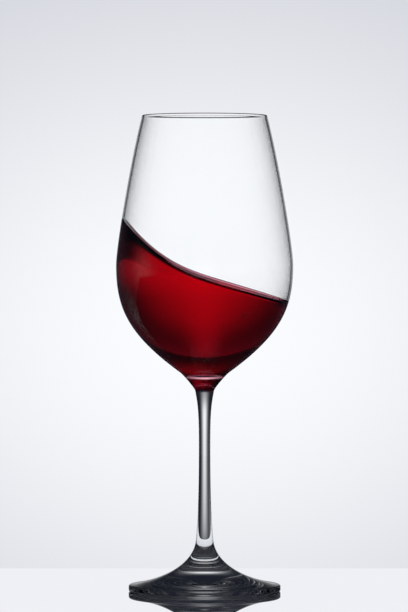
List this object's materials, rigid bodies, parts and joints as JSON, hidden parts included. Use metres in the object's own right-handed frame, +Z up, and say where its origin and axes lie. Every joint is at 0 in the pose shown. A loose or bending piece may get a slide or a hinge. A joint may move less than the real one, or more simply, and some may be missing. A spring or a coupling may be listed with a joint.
{
  "type": "glass of red wine",
  "caption": "Stemmed glass with a tapered bowl, part filled with red wine that has swung up one side.",
  "frame": {"origin": "middle of the foot's underside, on the table", "axes": "+Z up along the stem, -X towards the side where the wine stands highest, +Y towards the back"},
  "size_m": [0.0874, 0.0874, 0.235],
  "materials": {
    "clear_glass": "clear, fire polished",
    "red_wine": "clear liquid, mirror smooth"
  },
  "bodies": {
    "root": {"glass": "clear_glass", "wine": "red_wine"}
  },
  "joints": []
}
